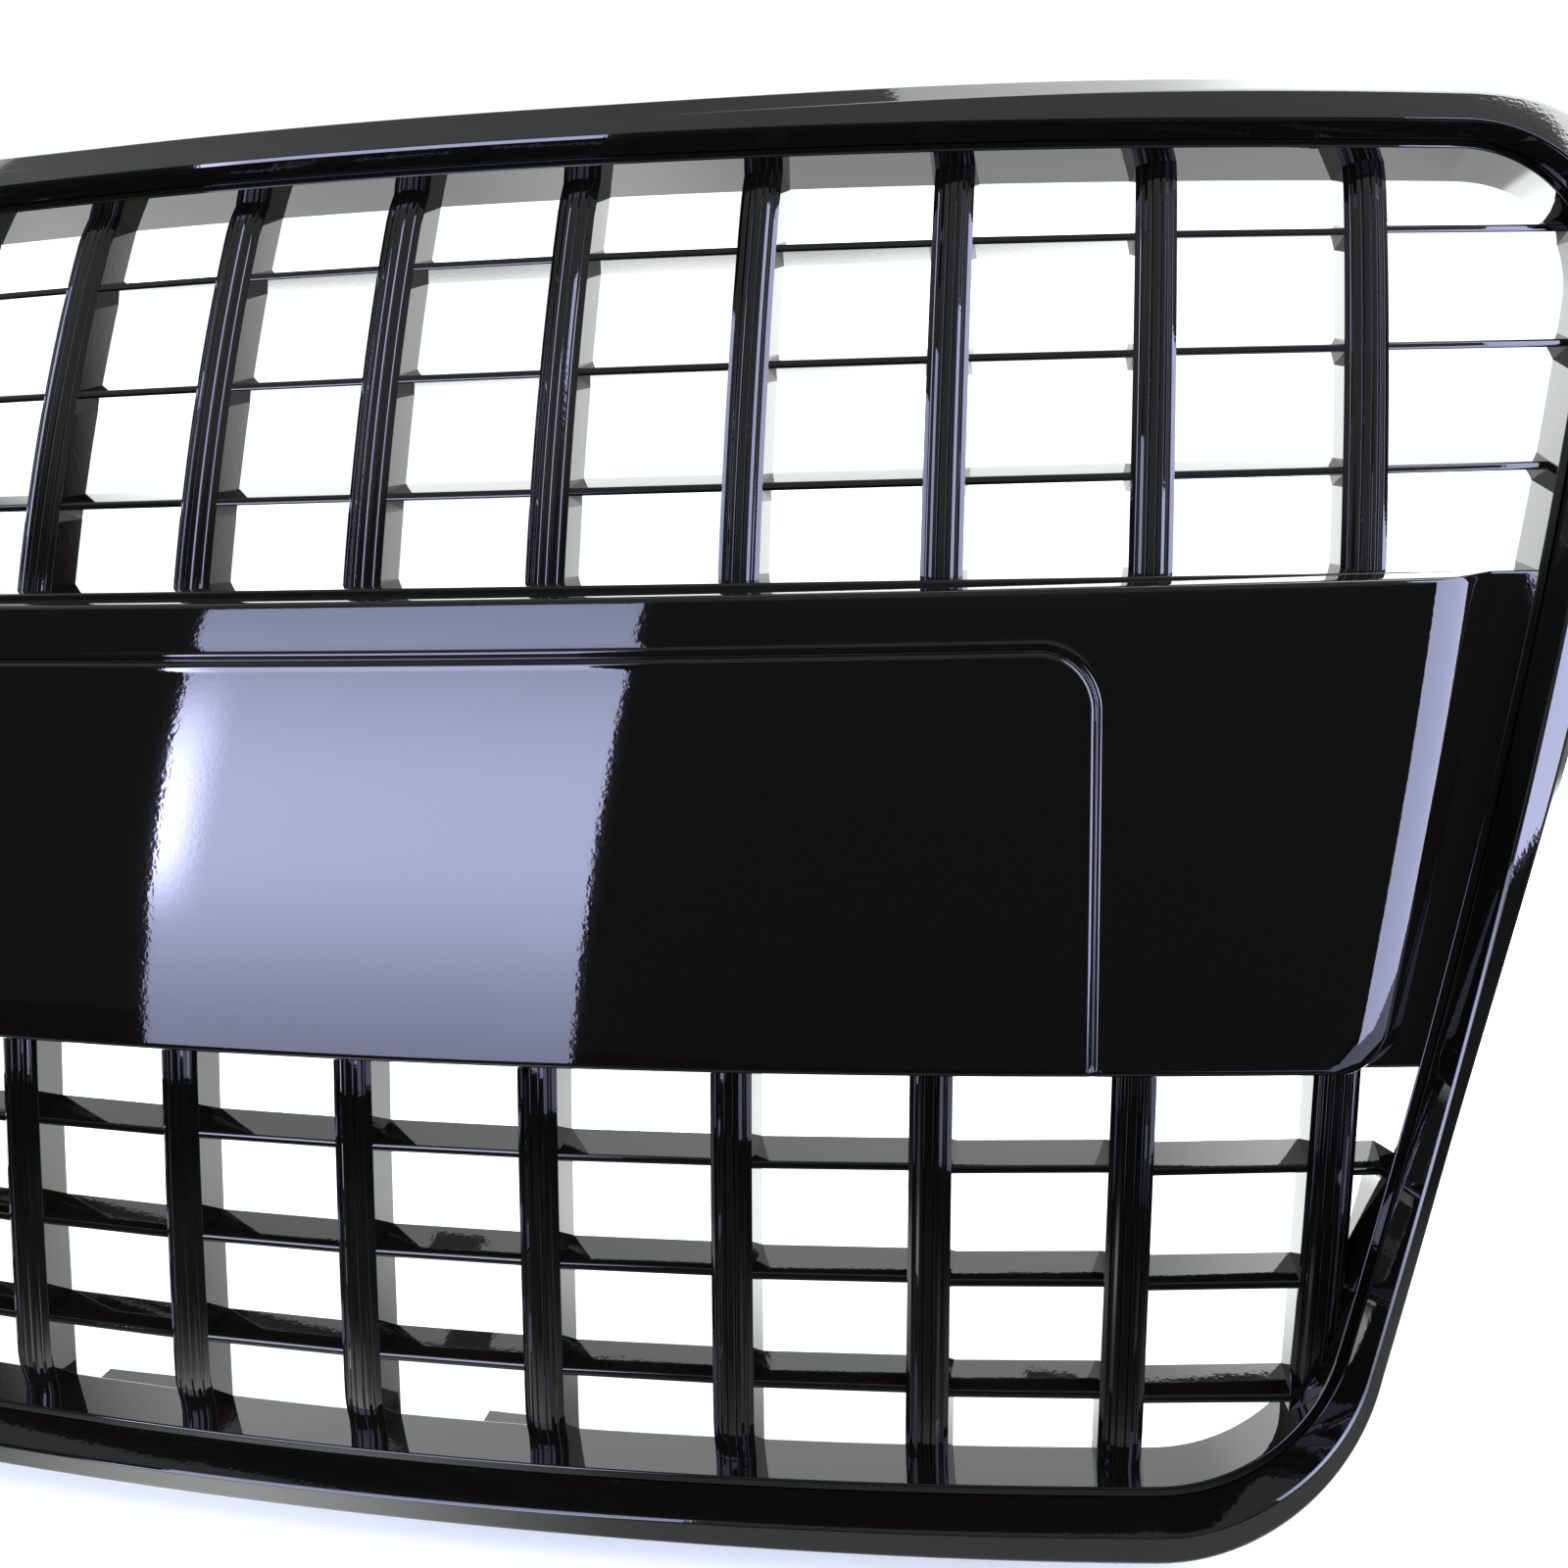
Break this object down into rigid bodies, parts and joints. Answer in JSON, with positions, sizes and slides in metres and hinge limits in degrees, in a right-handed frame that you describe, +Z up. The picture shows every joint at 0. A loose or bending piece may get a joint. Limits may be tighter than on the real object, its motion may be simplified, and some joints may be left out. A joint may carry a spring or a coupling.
{
  "type": "car front grille",
  "caption": "Trapezoid car front grille with a rounded surround, upper and lower bar-and-slat meshes and a raised number-plate panel across the middle.",
  "frame": {"origin": "middle of the flat rear face of the locating pad behind the plate panel, on the car's centre plane", "axes": "+X across the car to the viewer's right as seen from the front, +Y to the rear of the car, +Z up; the front faces -Y"},
  "size_m": [0.874, 0.2133, 0.4574],
  "materials": {
    "gloss_black": "high gloss black, faint orange peel",
    "gloss_black_strip": "high gloss black",
    "black_plastic": "satin, lightly grained",
    "zinc_steel": "zinc plated",
    "grey_foam": "dense closed-cell foam"
  },
  "bodies": {
    "root": {"bracket_bottom_left_inner": "black_plastic", "bracket_bottom_left_outer": "black_plastic", "bracket_bottom_right_inner": "black_plastic", "bracket_bottom_right_outer": "black_plastic", "bracket_top_left_inner": "black_plastic", "bracket_top_left_outer": "black_plastic", "bracket_top_right_inner": "black_plastic", "bracket_top_right_outer": "black_plastic", "insert_rim": "gloss_black", "locating_pad": "grey_foam", "lower_mesh": "gloss_black", "lower_strip_01": "gloss_black_strip", "lower_strip_02": "gloss_black_strip", "lower_strip_03": "gloss_black_strip", "lower_strip_04": "gloss_black_strip", "lower_strip_05": "gloss_black_strip", "lower_strip_06": "gloss_black_strip", "lower_strip_07": "gloss_black_strip", "lower_strip_08": "gloss_black_strip", "lower_strip_09": "gloss_black_strip", "lower_strip_10": "gloss_black_strip", "lower_strip_11": "gloss_black_strip", "lower_strip_12": "gloss_black_strip", "panel_carrier": "gloss_black", "plate_panel": "gloss_black", "screw_bottom_left_inner": "zinc_steel", "screw_bottom_left_outer": "zinc_steel", "screw_bottom_right_inner": "zinc_steel", "screw_bottom_right_outer": "zinc_steel", "screw_top_left_inner": "zinc_steel", "screw_top_left_outer": "zinc_steel", "screw_top_right_inner": "zinc_steel", "screw_top_right_outer": "zinc_steel", "surround_frame": "gloss_black", "upper_mesh": "gloss_black", "upper_strip_01": "gloss_black_strip", "upper_strip_02": "gloss_black_strip", "upper_strip_03": "gloss_black_strip", "upper_strip_04": "gloss_black_strip", "upper_strip_05": "gloss_black_strip", "upper_strip_06": "gloss_black_strip", "upper_strip_07": "gloss_black_strip", "upper_strip_08": "gloss_black_strip", "upper_strip_09": "gloss_black_strip", "upper_strip_10": "gloss_black_strip", "upper_strip_11": "gloss_black_strip", "upper_strip_12": "gloss_black_strip"}
  },
  "joints": []
}
